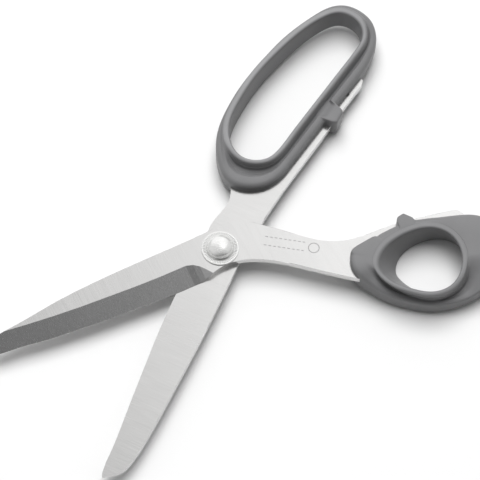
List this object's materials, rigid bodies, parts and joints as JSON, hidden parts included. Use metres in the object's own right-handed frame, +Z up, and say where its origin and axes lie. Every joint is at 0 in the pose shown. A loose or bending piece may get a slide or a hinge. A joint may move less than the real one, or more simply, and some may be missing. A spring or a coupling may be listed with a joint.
{
  "type": "fabric shears",
  "caption": "Left-handed dressmaking shears with a long finger loop, a smaller thumb ring, cranked steel blades and an adjustable domed pivot, stored part open.",
  "frame": {"origin": "on the pivot axis, on the flat underside of the tension nut, which is the level the shears lie on", "axes": "+X from the pivot towards the finger blade's tip, +Z up out of the bolt's domed head, +Y completes a right-handed frame, on the finger blade's spine side"},
  "size_m": [0.2077, 0.1531, 0.013],
  "materials": {
    "blade_steel": "fine cross-brushed, satin",
    "handle_plastic": "moulded, satin grey",
    "grip_ring": "soft-touch, satin grey",
    "pivot_steel": "bead-polished",
    "glide_plastic": "natural, smooth"
  },
  "bodies": {
    "finger_half": {"finger_blade": "blade_steel", "finger_handle_body": "handle_plastic", "finger_grip_liner": "grip_ring", "glide_washer": "glide_plastic", "spring_washer": "pivot_steel"},
    "thumb_half": {"thumb_blade": "blade_steel", "thumb_handle_body": "handle_plastic", "thumb_grip_liner": "grip_ring", "pivot_bolt": "pivot_steel", "serrated_washer": "pivot_steel"},
    "tension_nut": {"pivot_nut": "pivot_steel"}
  },
  "joints": [
    {"name": "blade_pivot", "type": "hinge", "parent": "finger_half", "child": "thumb_half", "pos_m": [0, 0, 0.0065], "axis": [0, 0, -1], "range_deg": [-38.5, 86]},
    {"name": "nut_turn", "type": "hinge", "parent": "thumb_half", "child": "tension_nut", "pos_m": [0, 0, 0], "axis": [0, 0, 1], "range_deg": [-45, 90]}
  ]
}
